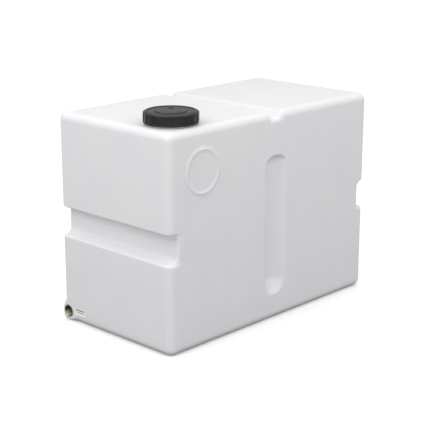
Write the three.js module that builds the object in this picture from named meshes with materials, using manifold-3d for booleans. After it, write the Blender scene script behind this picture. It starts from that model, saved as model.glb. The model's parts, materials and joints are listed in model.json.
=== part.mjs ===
/**
 * Upright fresh water tank: a rotomoulded shell with strap channels, a screw lid with its seal and
 * breather, and a brass outlet insert in one bottom corner.
 *
 * Millimetres, +Z up, origin in the middle of the base. The long sides face -Y and +Y, the outlet
 * end faces -X, and the filler neck stands near the -X, -Y corner of the top.
 */
import * as THREE from "three";
import { RoundedBoxGeometry } from "three/addons/geometries/RoundedBoxGeometry.js";
import { mergeVertices } from "three/addons/utils/BufferGeometryUtils.js";
import Module from "manifold-3d";

const wasm = await Module();
wasm.setup();

// The gap that neighbouring pieces keep, and how finely round things are cut.
const GAP = 0.3;
const ROUND_SIDES = 48;
const SMALL_SIDES = 16;
const TINY_SIDES = 8;

// The shell: overall size, wall thickness and the radius of its outer edges.
const TANK = { length: 700, width: 370, height: 510, wall: 6, edge: 18 };

// Strap channels: width of the floor and of the mouth, depth, and steps in each sloping side.
const END_CHANNEL = { z: 248, floor: 40, mouth: 77, depth: 27 };
const TOP_CHANNEL = { x: 0, floor: 22, mouth: 50, depth: 17 };
const CHANNEL_STEPS = 6;

// Upright stiffening recess in each long side: a round-ended hollow, part of a circle in section.
const RECESS = { x: 0, bottom: 60, top: 406, halfWidth: 40, depth: 20 };

// Raised ring around the flat pad on the -Y side, where a fitting can be welded or drilled.
const PAD_RING = { x: -246, z: 412, radius: 50, bead: 11, crest: 5, proud: 3 };

// Filler neck, and the single-start thread that it shares with the lid.
const NECK = { x: -266, y: -107, bore: 50, outer: 54, flare: 57, rim: 534 };
const THREAD = { pitch: 8, base: 3.4, crest: 1.6, stepsPerTurn: 24, lead: 3, embed: 0.5 };
const NECK_THREAD = { root: NECK.outer, tip: 56.4, from: 518.5, turns: 1.5 };
const LID_THREAD = { root: 57.8, tip: 55.2, from: 515.9, turns: 1.5 };

// Screw lid: skirt with a foot bead and grip lugs, a rim, a raised middle, and the seal's inner lip.
const LID = { bottom: 514, top: 541.5, outer: 60.5, inner: LID_THREAD.root, plate: 4 };
const FOOT_BEAD = { outer: 62, height: 2.5, slope: 0.8 };
const LUGS = { count: 18, proud: 2, bottom: 516, top: 538, pointsPerLug: 6 };
const RIM = { top: 541, shoulder: 3.5, inner: 54, slope: 0.8 };
const TOP_GROOVE = { floor: 539.4, inner: 37 };
const SEAL_LIP = { inner: 45.5, outer: 47.5, drop: 4 };
const SEAL = { inner: 48, outer: 57.2, bottom: NECK.rim + GAP, top: 537.2 };

// Breather in the lid: a plug with a flange in a counterbore, its screen and its umbrella valve.
const VENT = { x: NECK.x + 15, y: NECK.y + 15, flange: 7.5, barrel: 4.5, bore: 3, length: 10 };
const VENT_FLANGE_THICK = 1.4;
const VENT_AIR_HOLE = 1.1;
const VENT_END = { thick: 1.2, stemHole: 1.2, airHoles: 4, airRadius: 0.45, airCircle: 2.2 };
const VENT_SCREEN = { radius: 2.7, thick: 0.4, below: 3 };
const VALVE = { disc: 4.2, thick: 0.8, stem: 0.9, bulb: 1.6, bulbHeight: 1.4 };

// Outlet: a boss fills the bottom corner around a brass insert threaded 3/4 inch BSP inside.
const OUTLET = { y: 168, z: 22.5, boss: 20, bossLength: 28, bossTip: 38, hole: 11, holeLength: 60 };
const INSERT = { length: 22, core: 15, hex: 17, hexFrom: 5, hexTo: 16 };
const INSERT_BORE = { radius: 12.06, mouth: 13.6, chamfer: 1.6 };

// Sticker beside the outlet, in a shallow flat of its own.
const LABEL = { y: 126, z: 28.5, width: 37, height: 16, thick: 0.4 };

const MATERIALS = {
  polyethylene: material("#e9eaee", 0.45, 0),
  polypropylene: material("#232424", 0.4, 0),
  rubber: material("#1a1a1b", 0.8, 0),
  brass: material("#b79a5a", 0.35, 1),
  steel: material("#9c9c9a", 0.4, 1),
  paper: material("#f4f4f2", 0.6, 0),
};

/** A standard material of one colour. */
function material(color, roughness, metalness) {
  return new THREE.MeshStandardMaterial({ color, roughness, metalness });
}

/** Turns a closed geometry into a manifold-3d solid, without the zero-width triangles at poles. */
function solid(geometry) {
  const bare = geometry.clone();
  bare.deleteAttribute("normal");
  bare.deleteAttribute("uv");
  const merged = mergeVertices(bare, 1e-4);
  const corners = merged.index.array;
  const kept = [];
  for (let i = 0; i < corners.length; i += 3) {
    const [a, b, c] = corners.slice(i, i + 3);
    if (a !== b && b !== c && c !== a) kept.push(a, b, c);
  }
  const vertProperties = new Float32Array(merged.attributes.position.array);
  return new wasm.Manifold(new wasm.Mesh({ numProp: 3, vertProperties, triVerts: new Uint32Array(kept) }));
}

/** Names a solid and gives it its material, as a mesh of the tank. */
function piece(name, shape, look) {
  const { vertProperties, triVerts } = shape.getMesh();
  const geometry = new THREE.BufferGeometry();
  geometry.setAttribute("position", new THREE.BufferAttribute(vertProperties, 3));
  geometry.setIndex(new THREE.BufferAttribute(triVerts, 1));
  geometry.computeVertexNormals();
  const mesh = new THREE.Mesh(geometry, look);
  mesh.name = name;
  return mesh;
}

/** Joins a list of solids into one. */
function join(solids) {
  return solids.reduce((whole, next) => whole.add(next));
}

/** Solid of revolution about +Z: [radius, height] points, up the outside and down the inside. */
function revolve(points, sides = ROUND_SIDES) {
  const outline = points.map(([radius, height]) => new THREE.Vector2(radius, height));
  return solid(new THREE.LatheGeometry(outline, sides).rotateX(Math.PI / 2));
}

/** Round bar about +Z between two heights. */
function bar(radius, from, to, sides = ROUND_SIDES) {
  return revolve([[0, from], [radius, from], [radius, to], [0, to]], sides);
}

/** Round tube about +Z between two heights. */
function tube(inner, outer, from, to, sides = ROUND_SIDES) {
  return revolve([[outer, from], [outer, to], [inner, to], [inner, from], [outer, from]], sides);
}

/** Turns a solid's own +Z to point along +X, and puts its origin at a place. */
function alongX(shape, x, y, z) {
  return shape.rotate([0, 90, 0]).translate([x, y, z]);
}

/** Bar along Y, longer than the tank is wide, with an outline of [x, z] points. */
function acrossTank(outline) {
  const length = TANK.width + 2 * TANK.edge;
  const shape = new THREE.Shape(outline.map(([x, z]) => new THREE.Vector2(x, z)));
  const geometry = new THREE.ExtrudeGeometry(shape, { depth: length, bevelEnabled: false });
  return solid(geometry.rotateX(Math.PI / 2).translate(0, length / 2, 0));
}

/**
 * Section of a strap channel as [place across it, depth] points, grown into the wall by an
 * amount. Each side falls from the mouth to the floor along half a cosine wave.
 */
function channelSection({ floor, mouth, depth }, grow) {
  const run = (mouth - floor) / 2;
  const side = [[mouth / 2, -TANK.edge]];
  for (let step = 0; step <= CHANNEL_STEPS; step++) {
    const turn = (Math.PI * step) / CHANNEL_STEPS;
    const across = mouth / 2 - (run * step) / CHANNEL_STEPS;
    const down = (depth * (1 - Math.cos(turn))) / 2;
    const slope = (depth * Math.PI * Math.sin(turn)) / (2 * run);
    const scale = grow / Math.hypot(1, slope);
    side.push([across + slope * scale, down + scale]);
  }
  const mirrored = side.map(([across, down]) => [-across, down]).reverse();
  return [...side, ...mirrored];
}

/** The three strap channels, as the solids that cut them. */
function channelCutters(grow) {
  const ends = channelSection(END_CHANNEL, grow);
  const top = channelSection(TOP_CHANNEL, grow);
  return [
    acrossTank(ends.map(([across, down]) => [-TANK.length / 2 + down, END_CHANNEL.z + across])),
    acrossTank(ends.map(([across, down]) => [TANK.length / 2 - down, END_CHANNEL.z + across])),
    acrossTank(top.map(([across, down]) => [TOP_CHANNEL.x + across, TANK.height - down])),
  ];
}

/** The recess of each long side, as the upright capsules that cut them. */
function recessCutters(grow) {
  const { x, bottom, top, halfWidth, depth } = RECESS;
  const radius = (halfWidth ** 2 + depth ** 2) / (2 * depth);
  const middle = TANK.width / 2 + radius - depth;
  const length = top - bottom - 2 * halfWidth;
  return [-middle, middle].map((y) => {
    const capsule = new THREE.CapsuleGeometry(radius + grow, length, 8, 40);
    return solid(capsule.rotateX(Math.PI / 2)).translate([x, y, (top + bottom) / 2]);
  });
}

/** The plain form of the tank, drawn in from the outside by an amount all over. */
function tankForm(inset) {
  const { length, width, height, edge } = TANK;
  const size = [length, width, height].map((side) => side - 2 * inset);
  const block = solid(new RoundedBoxGeometry(...size, 3, edge - inset)).translate([0, 0, height / 2]);
  const cutters = [...channelCutters(inset), ...recessCutters(inset)];
  return cutters.reduce((form, cutter) => form.subtract(cutter), block);
}

/** Raised ring on the -Y side. */
function padRing() {
  const { x, z, radius, bead, crest, proud } = PAD_RING;
  const section = [
    [radius + bead / 2, -1], [radius + crest / 2, proud], [radius - crest / 2, proud],
    [radius - bead / 2, -1], [radius + bead / 2, -1],
  ];
  return revolve(section).rotate([90, 0, 0]).translate([x, -TANK.width / 2, z]);
}

/**
 * Ridge of a thread about +Z that climbs to the right, from its root radius to its tip radius.
 * Its section is a trapezium that grows out of the wall over a few steps at each end.
 */
function threadRidge({ root, tip, from, turns }) {
  const { pitch, base, crest, stepsPerTurn, lead, embed } = THREAD;
  const outward = Math.sign(tip - root);
  const steps = Math.round(turns * stepsPerTurn);
  const places = [];
  for (let step = 0; step <= steps; step++) {
    const angle = (2 * Math.PI * step) / stepsPerTurn;
    const height = from + (pitch * step) / stepsPerTurn;
    const grown = Math.min(1, (step + 1) / lead, (steps - step + 1) / lead);
    const reach = root + (tip - root) * grown;
    const foot = root - outward * embed;
    const section = [[foot, -base / 2], [reach, -crest / 2], [reach, crest / 2], [foot, base / 2]];
    for (const [radius, rise] of section) {
      places.push(radius * Math.cos(angle), radius * Math.sin(angle), height + rise);
    }
  }
  const corners = [0, 1, 2, 0, 2, 3];
  for (let step = 0; step < steps; step++) {
    for (let side = 0; side < 4; side++) {
      const here = 4 * step + side;
      const next = 4 * step + ((side + 1) % 4);
      corners.push(here, here + 4, next, next, here + 4, next + 4);
    }
  }
  const end = 4 * steps;
  corners.push(end, end + 2, end + 1, end, end + 3, end + 2);
  if (outward < 0) corners.reverse();
  const vertProperties = new Float32Array(places);
  return new wasm.Manifold(new wasm.Mesh({ numProp: 3, vertProperties, triVerts: new Uint32Array(corners) }));
}

/** Filler neck with its thread, about the neck's own axis. */
function neck() {
  const foot = TANK.height;
  const { outer, flare, rim } = NECK;
  const wall = revolve([
    [0, foot - 10], [flare, foot - 10], [flare, foot], [outer, foot + flare - outer],
    [outer, rim], [0, rim],
  ]);
  return join([wall, threadRidge(NECK_THREAD)]);
}

/** Boss that fills the bottom corner around the outlet. */
function outletBoss() {
  const { y, z, boss, bossLength, bossTip } = OUTLET;
  const tipRadius = boss - (bossTip - bossLength);
  const shape = revolve([[0, 0], [boss, 0], [boss, bossLength], [tipRadius, bossTip], [0, bossTip]]);
  return alongX(shape, -TANK.length / 2, y, z);
}

/** Outside of the brass insert, from its face at zero along +Z, grown by an amount. */
function insertForm(grow) {
  const { length, core, hex, hexFrom, hexTo } = INSERT;
  const hexagon = bar(hex + grow, hexFrom - grow, hexTo + grow, 6);
  return join([bar(core + grow, -grow, length + grow), hexagon]);
}

/** The rotomoulded shell, open at its filler neck and at its outlet. */
function tankBody() {
  const { wall, length, height } = TANK;
  const boss = outletBoss();
  const outside = join([tankForm(0), padRing(), neck().translate([NECK.x, NECK.y, 0]), boss]);
  const inside = tankForm(wall).subtract(boss);
  const neckBore = bar(NECK.bore, height - 3 * wall, NECK.rim + wall).translate([NECK.x, NECK.y, 0]);
  const outletHole = alongX(bar(OUTLET.hole, 0, OUTLET.holeLength), -length / 2, OUTLET.y, OUTLET.z);
  const pocket = alongX(insertForm(GAP), -length / 2, OUTLET.y, OUTLET.z);
  const flat = new THREE.BoxGeometry(2 * (LABEL.thick + GAP), LABEL.width + 2 * GAP, LABEL.height + 2 * GAP);
  const labelFlat = solid(flat).translate([-length / 2, LABEL.y, LABEL.z]);
  return [inside, neckBore, outletHole, pocket, labelFlat].reduce((shell, cut) => shell.subtract(cut), outside);
}

/** Brass insert, threaded bore open right through, with a chamfered mouth. */
function outletInsert() {
  const { radius, mouth, chamfer } = INSERT_BORE;
  const bore = revolve([
    [0, -1], [mouth, -1], [mouth, 0], [radius, chamfer],
    [radius, INSERT.length + 1], [0, INSERT.length + 1],
  ]);
  const shape = insertForm(0).subtract(bore);
  return alongX(shape, -TANK.length / 2, OUTLET.y, OUTLET.z);
}

/** Sticker beside the outlet. */
function label() {
  const sheet = new THREE.BoxGeometry(LABEL.thick, LABEL.width, LABEL.height);
  return solid(sheet).translate([(LABEL.thick - TANK.length) / 2, LABEL.y, LABEL.z]);
}

/** Band of grip lugs around the lid's skirt: an outline that swells and falls with the angle. */
function gripLugs() {
  const { count, proud, bottom, top, pointsPerLug } = LUGS;
  const points = count * pointsPerLug;
  const outline = [];
  for (let point = 0; point < points; point++) {
    const angle = (2 * Math.PI * point) / points;
    const swell = Math.cos((2 * Math.PI * point) / pointsPerLug);
    const radius = LID.outer + (proud / 2) * (1 + Math.sign(swell) * Math.sqrt(Math.abs(swell)));
    outline.push(new THREE.Vector2(radius * Math.cos(angle), radius * Math.sin(angle)));
  }
  const shape = new THREE.Shape(outline);
  shape.holes.push(new THREE.Path().absarc(0, 0, LID.outer - 1, 0, 2 * Math.PI, true));
  const band = new THREE.ExtrudeGeometry(shape, { depth: top - bottom, bevelEnabled: false, curveSegments: 36 });
  return solid(band).translate([0, 0, bottom]);
}

/** Screw lid with its grip lugs, its thread and the counterbored hole for the breather. */
function screwLid() {
  const { bottom, top, outer, inner, plate } = LID;
  const under = top - plate;
  const cup = revolve([
    [0, under], [SEAL_LIP.inner, under], [SEAL_LIP.inner, under - SEAL_LIP.drop],
    [SEAL_LIP.outer, under - SEAL_LIP.drop], [SEAL_LIP.outer, under], [inner, under],
    [inner, bottom], [FOOT_BEAD.outer, bottom], [FOOT_BEAD.outer, bottom + FOOT_BEAD.height],
    [outer, bottom + FOOT_BEAD.height + FOOT_BEAD.slope], [outer, LUGS.top], [outer - RIM.shoulder, RIM.top],
    [RIM.inner, RIM.top], [RIM.inner - RIM.slope, TOP_GROOVE.floor],
    [TOP_GROOVE.inner + RIM.slope, TOP_GROOVE.floor], [TOP_GROOVE.inner, top], [0, top],
  ]);
  const hole = bar(VENT.barrel + GAP, under - 1, top + 1, SMALL_SIDES);
  const counterbore = bar(VENT.flange + GAP, top - VENT_FLANGE_THICK - GAP, top + 1, SMALL_SIDES);
  const breatherHole = join([hole, counterbore]).translate([VENT.x - NECK.x, VENT.y - NECK.y, 0]);
  const lid = join([cup, gripLugs(), threadRidge(LID_THREAD)]).subtract(breatherHole);
  return lid.translate([NECK.x, NECK.y, 0]);
}

/** Flat rubber ring between the neck's rim and the lid. */
function lidSeal() {
  return tube(SEAL.inner, SEAL.outer, SEAL.bottom, SEAL.top).translate([NECK.x, NECK.y, 0]);
}

/** Breather plug: flange flush with the lid, barrel below it, air holes at both ends. */
function ventPlug() {
  const { flange, barrel, bore, length } = VENT;
  const top = LID.top;
  const low = top - length;
  const shape = revolve([
    [barrel, low], [barrel, top - VENT_FLANGE_THICK], [flange, top - VENT_FLANGE_THICK], [flange, top],
    [VENT_AIR_HOLE, top], [VENT_AIR_HOLE, top - VENT_FLANGE_THICK], [bore, top - VENT_FLANGE_THICK],
    [bore, low + VENT_END.thick], [VENT_END.stemHole, low + VENT_END.thick],
    [VENT_END.stemHole, low], [barrel, low],
  ], SMALL_SIDES);
  const drilled = shape.subtract(join(endAirHoles(low)));
  return drilled.translate([VENT.x, VENT.y, 0]);
}

/** The ring of small air holes through the breather barrel's lower end. */
function endAirHoles(low) {
  const holes = [];
  for (let hole = 0; hole < VENT_END.airHoles; hole++) {
    const angle = (2 * Math.PI * hole) / VENT_END.airHoles;
    const [x, y] = [Math.cos(angle), Math.sin(angle)].map((part) => part * VENT_END.airCircle);
    holes.push(bar(VENT_END.airRadius, low - 1, low + VENT_END.thick + 1, TINY_SIDES).translate([x, y, 0]));
  }
  return holes;
}

/** Fine screen disc inside the breather barrel. */
function ventScreen() {
  const { radius, thick, below } = VENT_SCREEN;
  const top = LID.top - below;
  return bar(radius, top - thick, top, SMALL_SIDES).translate([VENT.x, VENT.y, 0]);
}

/** Rubber umbrella valve under the breather: disc, stem through the end wall, and its bulb. */
function ventValve() {
  const { disc, thick, stem, bulb, bulbHeight } = VALVE;
  const seat = LID.top - VENT.length - GAP;
  const held = seat + VENT_END.thick + 2 * GAP;
  const shape = revolve([
    [0, seat - thick], [disc, seat - thick], [disc, seat], [stem, seat], [stem, held],
    [bulb, held], [bulb, held + bulbHeight / 2], [stem, held + bulbHeight], [0, held + bulbHeight],
  ], SMALL_SIDES);
  return shape.translate([VENT.x, VENT.y, 0]);
}

const tank = new THREE.Group();
tank.name = "fresh_water_tank";
tank.add(
  piece("tank_body", tankBody(), MATERIALS.polyethylene),
  piece("outlet_insert", outletInsert(), MATERIALS.brass),
  piece("label", label(), MATERIALS.paper),
  piece("screw_lid", screwLid(), MATERIALS.polypropylene),
  piece("lid_seal", lidSeal(), MATERIALS.rubber),
  piece("vent_plug", ventPlug(), MATERIALS.polypropylene),
  piece("vent_screen", ventScreen(), MATERIALS.steel),
  piece("vent_valve", ventValve(), MATERIALS.rubber),
);

export default tank;
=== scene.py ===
"""Looks of the upright fresh water tank: shell, screw lid, breather, outlet and sticker.

Metres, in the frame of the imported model: +Z up, origin in the middle of the base, outlet end at -X.
A size is in millimetres where its name ends in mm. Every surface is worked out with numpy.
"""
import json
import logging
import math
from dataclasses import dataclass, field
from enum import Enum
from typing import Any, Callable, Sequence

import bpy
import numpy as np
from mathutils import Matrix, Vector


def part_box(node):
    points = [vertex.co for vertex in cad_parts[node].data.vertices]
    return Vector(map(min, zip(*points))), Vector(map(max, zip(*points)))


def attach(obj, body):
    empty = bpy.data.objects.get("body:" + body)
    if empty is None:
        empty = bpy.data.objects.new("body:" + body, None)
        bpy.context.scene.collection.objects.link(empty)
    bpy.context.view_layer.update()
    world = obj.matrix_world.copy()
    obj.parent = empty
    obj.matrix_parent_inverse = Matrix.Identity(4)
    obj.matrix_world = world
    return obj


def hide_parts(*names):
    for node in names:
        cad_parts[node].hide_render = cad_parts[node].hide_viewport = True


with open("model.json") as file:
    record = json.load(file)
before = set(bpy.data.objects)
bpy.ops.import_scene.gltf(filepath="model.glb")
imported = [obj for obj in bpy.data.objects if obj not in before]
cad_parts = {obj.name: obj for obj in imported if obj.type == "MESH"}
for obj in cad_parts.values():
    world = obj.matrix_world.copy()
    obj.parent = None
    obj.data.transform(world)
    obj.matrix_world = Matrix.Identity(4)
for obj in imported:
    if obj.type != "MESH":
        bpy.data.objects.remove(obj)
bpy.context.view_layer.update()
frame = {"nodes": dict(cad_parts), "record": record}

LOG = logging.getLogger("tank")
MM = 0.001
SHARP_ANGLE = math.radians(38.0)

Array = np.ndarray
Triple = tuple[float, float, float]
Value = Any


class Body(Enum):
    """The rigid bodies that pieces ride on."""

    TANK = "tank"
    SEAL = "seal"
    LID = "lid"


class Slot(Enum):
    """The record's material slots."""

    SHELL = "natural_polyethylene"
    LID = "black_polypropylene"
    RUBBER = "black_rubber"
    BREATHER = "breather_plastic"
    BRASS = "brass"
    STICKER = "label_vinyl"


class Cut(Enum):
    """How two closed meshes are combined."""

    JOIN = "UNION"
    REMOVE = "DIFFERENCE"


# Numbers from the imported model

def mount(name: str) -> Array:
    """Place of one of the record's mounts."""
    found = next(m for m in frame["record"]["mounts"] if m["name"] == name)
    return np.array(found["pos_m"], dtype=float)


def box(node: str) -> tuple[Array, Array]:
    """Low and high corners of a node's box."""
    low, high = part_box(node)
    return np.array(low, dtype=float), np.array(high, dtype=float)


def axis_of(node: str) -> Array:
    """Middle of a node's box, on the X, Y plane."""
    low, high = box(node)
    return (low[:2] + high[:2]) / 2


# Surfaces

def smooth_step(value: Array) -> Array:
    """Rises from 0 to 1 as the value does, along 3t^2 - 2t^3."""
    t = np.clip(value, 0.0, 1.0)
    return t * t * (3.0 - 2.0 * t)


def soft_max(a: Array, b: Array | float, width: float) -> Array:
    """The larger of two fields, blended over a width: (a + b + sqrt((a - b)^2 + width^2)) / 2."""
    return (a + b + np.sqrt((a - b) ** 2 + width ** 2)) / 2


@dataclass
class Surface:
    """Points and polygons of a mesh, as whole arrays."""

    points: Array
    faces: Array

    def moved(self, x: float, y: float, z: float = 0.0) -> "Surface":
        """The same surface, shifted."""
        return Surface(self.points + np.array([x, y, z]), self.faces)

    def along_x(self) -> "Surface":
        """The same surface with its own +Z turned to +X: (x, y, z) becomes (z, y, -x)."""
        x, y, z = self.points.T
        return Surface(np.column_stack([z, y, -x]), self.faces)


def joined(parts: Sequence[Surface], tolerance: float = 1e-6) -> Surface:
    """Lays surfaces together and merges the points that meet.

    Args:
        parts: surfaces whose faces have the same number of corners.
        tolerance: how close two points are when they count as one.

    Returns:
        One surface, without the faces that the merge made empty.
    """
    points = np.vstack([part.points for part in parts])
    starts = np.cumsum([0] + [len(part.points) for part in parts[:-1]])
    faces = np.vstack([part.faces + start for part, start in zip(parts, starts)])
    _, first, same = np.unique(np.round(points / tolerance).astype(np.int64), axis=0,
                               return_index=True, return_inverse=True)
    faces = same.reshape(-1)[faces]
    distinct = (faces != np.roll(faces, -1, axis=1)).sum(axis=1)
    return Surface(points[first], faces[distinct >= 3])


def grid_faces(rows: int, columns: int, around: bool = False) -> Array:
    """Quads between the points of a grid that is laid out row by row.

    Args:
        rows: number of rows of points.
        columns: number of points in each row.
        around: True joins the last column to the first.

    Returns:
        An array of quads.
    """
    here = np.arange(rows * columns).reshape(rows, columns)
    right = np.roll(here, -1, axis=1)
    quads = np.stack([here[:-1], right[:-1], right[1:], here[1:]], axis=-1)
    return (quads if around else quads[:, :-1]).reshape(-1, 4)


def revolve(profile: Array, sides: int,
            swell: Callable[[Array, Array, Array], Array] | None = None) -> Surface:
    """Carries a profile round +Z: (r cos a, r sin a, z) with r = profile radius + swell(a, r, z).

    Args:
        profile: rows of radius and height, up the outside and down the inside, joined up at its end.
        sides: number of steps round the axis.
        swell: extra radius at each angle, radius and height.

    Returns:
        The surface, facing away from the material that the profile goes round.
    """
    profile = np.vstack([profile, profile[:1]])
    angle = np.linspace(0.0, 2 * np.pi, sides, endpoint=False)[None, :]
    a, r, z = np.broadcast_arrays(angle, profile[:, :1], profile[:, 1:2])
    if swell is not None:
        r = r + swell(a, r, z)
    points = np.stack([r * np.cos(a), r * np.sin(a), z], axis=-1).reshape(-1, 3)
    return joined([Surface(points, grid_faces(len(profile), sides, around=True))])


def rounded(corners: Sequence[Triple], steps: int = 4, spacing: float = 0.0) -> Array:
    """Profile through corners, each replaced by a curve of its own size.

    A corner P becomes the curve (1-t)^2 A + 2t(1-t) P + t^2 B, with A and B on its two sides.

    Args:
        corners: radius from the axis, height, and how far from the corner its curve starts.
        steps: points in each curve, less one.
        spacing: longest run without a point, or 0 for no extra points.

    Returns:
        Rows of radius and height.
    """
    places = np.array([corner[:2] for corner in corners], dtype=float)
    rows: list[Array] = []
    t = np.linspace(0.0, 1.0, steps + 1)[:, None]
    for index, (_, _, cut) in enumerate(corners):
        here = places[index]
        if cut <= 0 or index in (0, len(corners) - 1):
            rows.append(here[None])
            continue
        before, after = places[index - 1] - here, places[index + 1] - here
        a = here + before * min(0.499, cut / np.linalg.norm(before))
        b = here + after * min(0.499, cut / np.linalg.norm(after))
        rows.append((1 - t) ** 2 * a + 2 * t * (1 - t) * here + t ** 2 * b)
    path = np.vstack(rows)
    if spacing <= 0:
        return path
    run = np.linalg.norm(np.diff(path, axis=0), axis=1)
    along = np.concatenate([[0.0], np.cumsum(run)])
    extra = [np.linspace(s, e, math.ceil((e - s) / spacing) + 1)[1:-1]
             for s, e in zip(along[:-1], along[1:])]
    stations = np.unique(np.concatenate([along, *extra]))
    return np.column_stack([np.interp(stations, along, path[:, i]) for i in range(2)])


@dataclass(frozen=True)
class LidThread:
    """The single-start ridge that the neck's outside and the lid's inside both carry."""

    pitch: float = 0.008
    turns: float = 1.5
    base: float = 0.0034
    crest: float = 0.0016
    fade: float = 0.7

    def ridge(self, angle: Array, height: Array, start: float) -> Array:
        """How far the ridge stands, from 0 to 1: its section is 1 within half the crest of a helix
        and falls evenly to 0 at half the base, and its ends grow over the fade angle.

        Args:
            angle: angles round the axis.
            height: heights along it.
            start: height where the ridge starts, at angle 0.

        Returns:
            The ridge's share of its full height.
        """
        turned = angle[..., None] + 2 * np.pi * np.arange(math.ceil(self.turns) + 1)
        away = np.abs(height[..., None] - start - self.pitch * turned / (2 * np.pi))
        ridge = np.clip((self.base / 2 - away) / ((self.base - self.crest) / 2), 0.0, 1.0)
        ends = np.clip(np.minimum(turned, 2 * np.pi * self.turns - turned) / self.fade, 0.0, 1.0)
        return (ridge * ends).max(axis=-1)


def make_piece(name: str, surface: Surface, body: Body | None,
               replaces: Sequence[str] = ()) -> bpy.types.Object:
    """Puts a surface into the scene as a smooth piece.

    Args:
        name: the piece's name.
        surface: its points and faces.
        body: the body it rides on, or None for a cutter or a stage.
        replaces: CAD nodes that it stands for.

    Returns:
        The new object.
    """
    mesh = bpy.data.meshes.new(name)
    kept = surface.faces != np.roll(surface.faces, -1, axis=1)
    corners = surface.faces[kept].astype(np.int32)
    starts = np.concatenate([[0], np.cumsum(kept.sum(axis=1))[:-1]]).astype(np.int32)
    mesh.vertices.add(len(surface.points))
    mesh.vertices.foreach_set("co", surface.points.astype(np.float32).ravel())
    mesh.loops.add(len(corners))
    mesh.loops.foreach_set("vertex_index", corners)
    mesh.polygons.add(len(starts))
    mesh.polygons.foreach_set("loop_start", starts)
    mesh.update(calc_edges=True)
    mesh.validate()
    piece = bpy.data.objects.new(name, mesh)
    bpy.context.scene.collection.objects.link(piece)
    soften(piece)
    if body is not None:
        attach(piece, body.value)
    if replaces:
        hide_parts(*replaces)
    return piece


def soften(piece: bpy.types.Object) -> None:
    """Shades a piece smoothly, apart from edges that turn more than the sharp angle."""
    piece.data.shade_smooth()
    piece.data.set_sharp_from_angle(angle=SHARP_ANGLE)


def combine(piece: bpy.types.Object, surface: Surface, how: Cut) -> None:
    """Adds a closed surface to a piece or cuts it away, and keeps the result.

    Args:
        piece: the piece that changes.
        surface: the closed surface.
        how: whether it is added or removed.
    """
    tool, old = make_piece("tool", surface, None), piece.data
    change = piece.modifiers.new("combine", "BOOLEAN")
    change.object, change.operation, change.solver = tool, how.value, "MANIFOLD"
    depsgraph = bpy.context.evaluated_depsgraph_get()
    result = bpy.data.meshes.new_from_object(piece.evaluated_get(depsgraph))
    piece.modifiers.clear()
    piece.data, result.name = result, piece.name
    bpy.data.meshes.remove(old)
    bpy.data.objects.remove(tool)
    soften(piece)


# Shader maths

def maths(operation: str, swapped: bool = False) -> Callable[..., "Wire"]:
    """Makes a method of Wire.

    Args:
        operation: the Math node's operation.
        swapped: True puts the method's own wire last.

    Returns:
        A method that adds the node.
    """

    def method(self: "Wire", *others: Value) -> "Wire":
        """Adds the Math node."""
        values = (*others, self) if swapped else (self, *others)
        return self.pad.node("ShaderNodeMath", {"operation": operation}, dict(enumerate(values)))

    return method


@dataclass
class Wire:
    """A value that comes out of a node, on which operators and methods add Math nodes."""

    pad: "Pad"
    socket: bpy.types.NodeSocket

    __add__, __sub__, __mul__ = maths("ADD"), maths("SUBTRACT"), maths("MULTIPLY")
    __rsub__ = maths("SUBTRACT", swapped=True)
    larger, smaller, above = maths("MAXIMUM"), maths("MINIMUM"), maths("GREATER_THAN")
    size, root, wave = maths("ABSOLUTE"), maths("SQRT"), maths("SINE")

    def spread(self, low: float, high: float, to_low: float = 0.0, to_high: float = 1.0) -> "Wire":
        """Maps the range from low to high smoothly to another, and holds it inside."""
        return self.pad.node("ShaderNodeMapRange", {"interpolation_type": "SMOOTHSTEP"}, {
            "Value": self, "From Min": low, "From Max": high, "To Min": to_low, "To Max": to_high})


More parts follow.
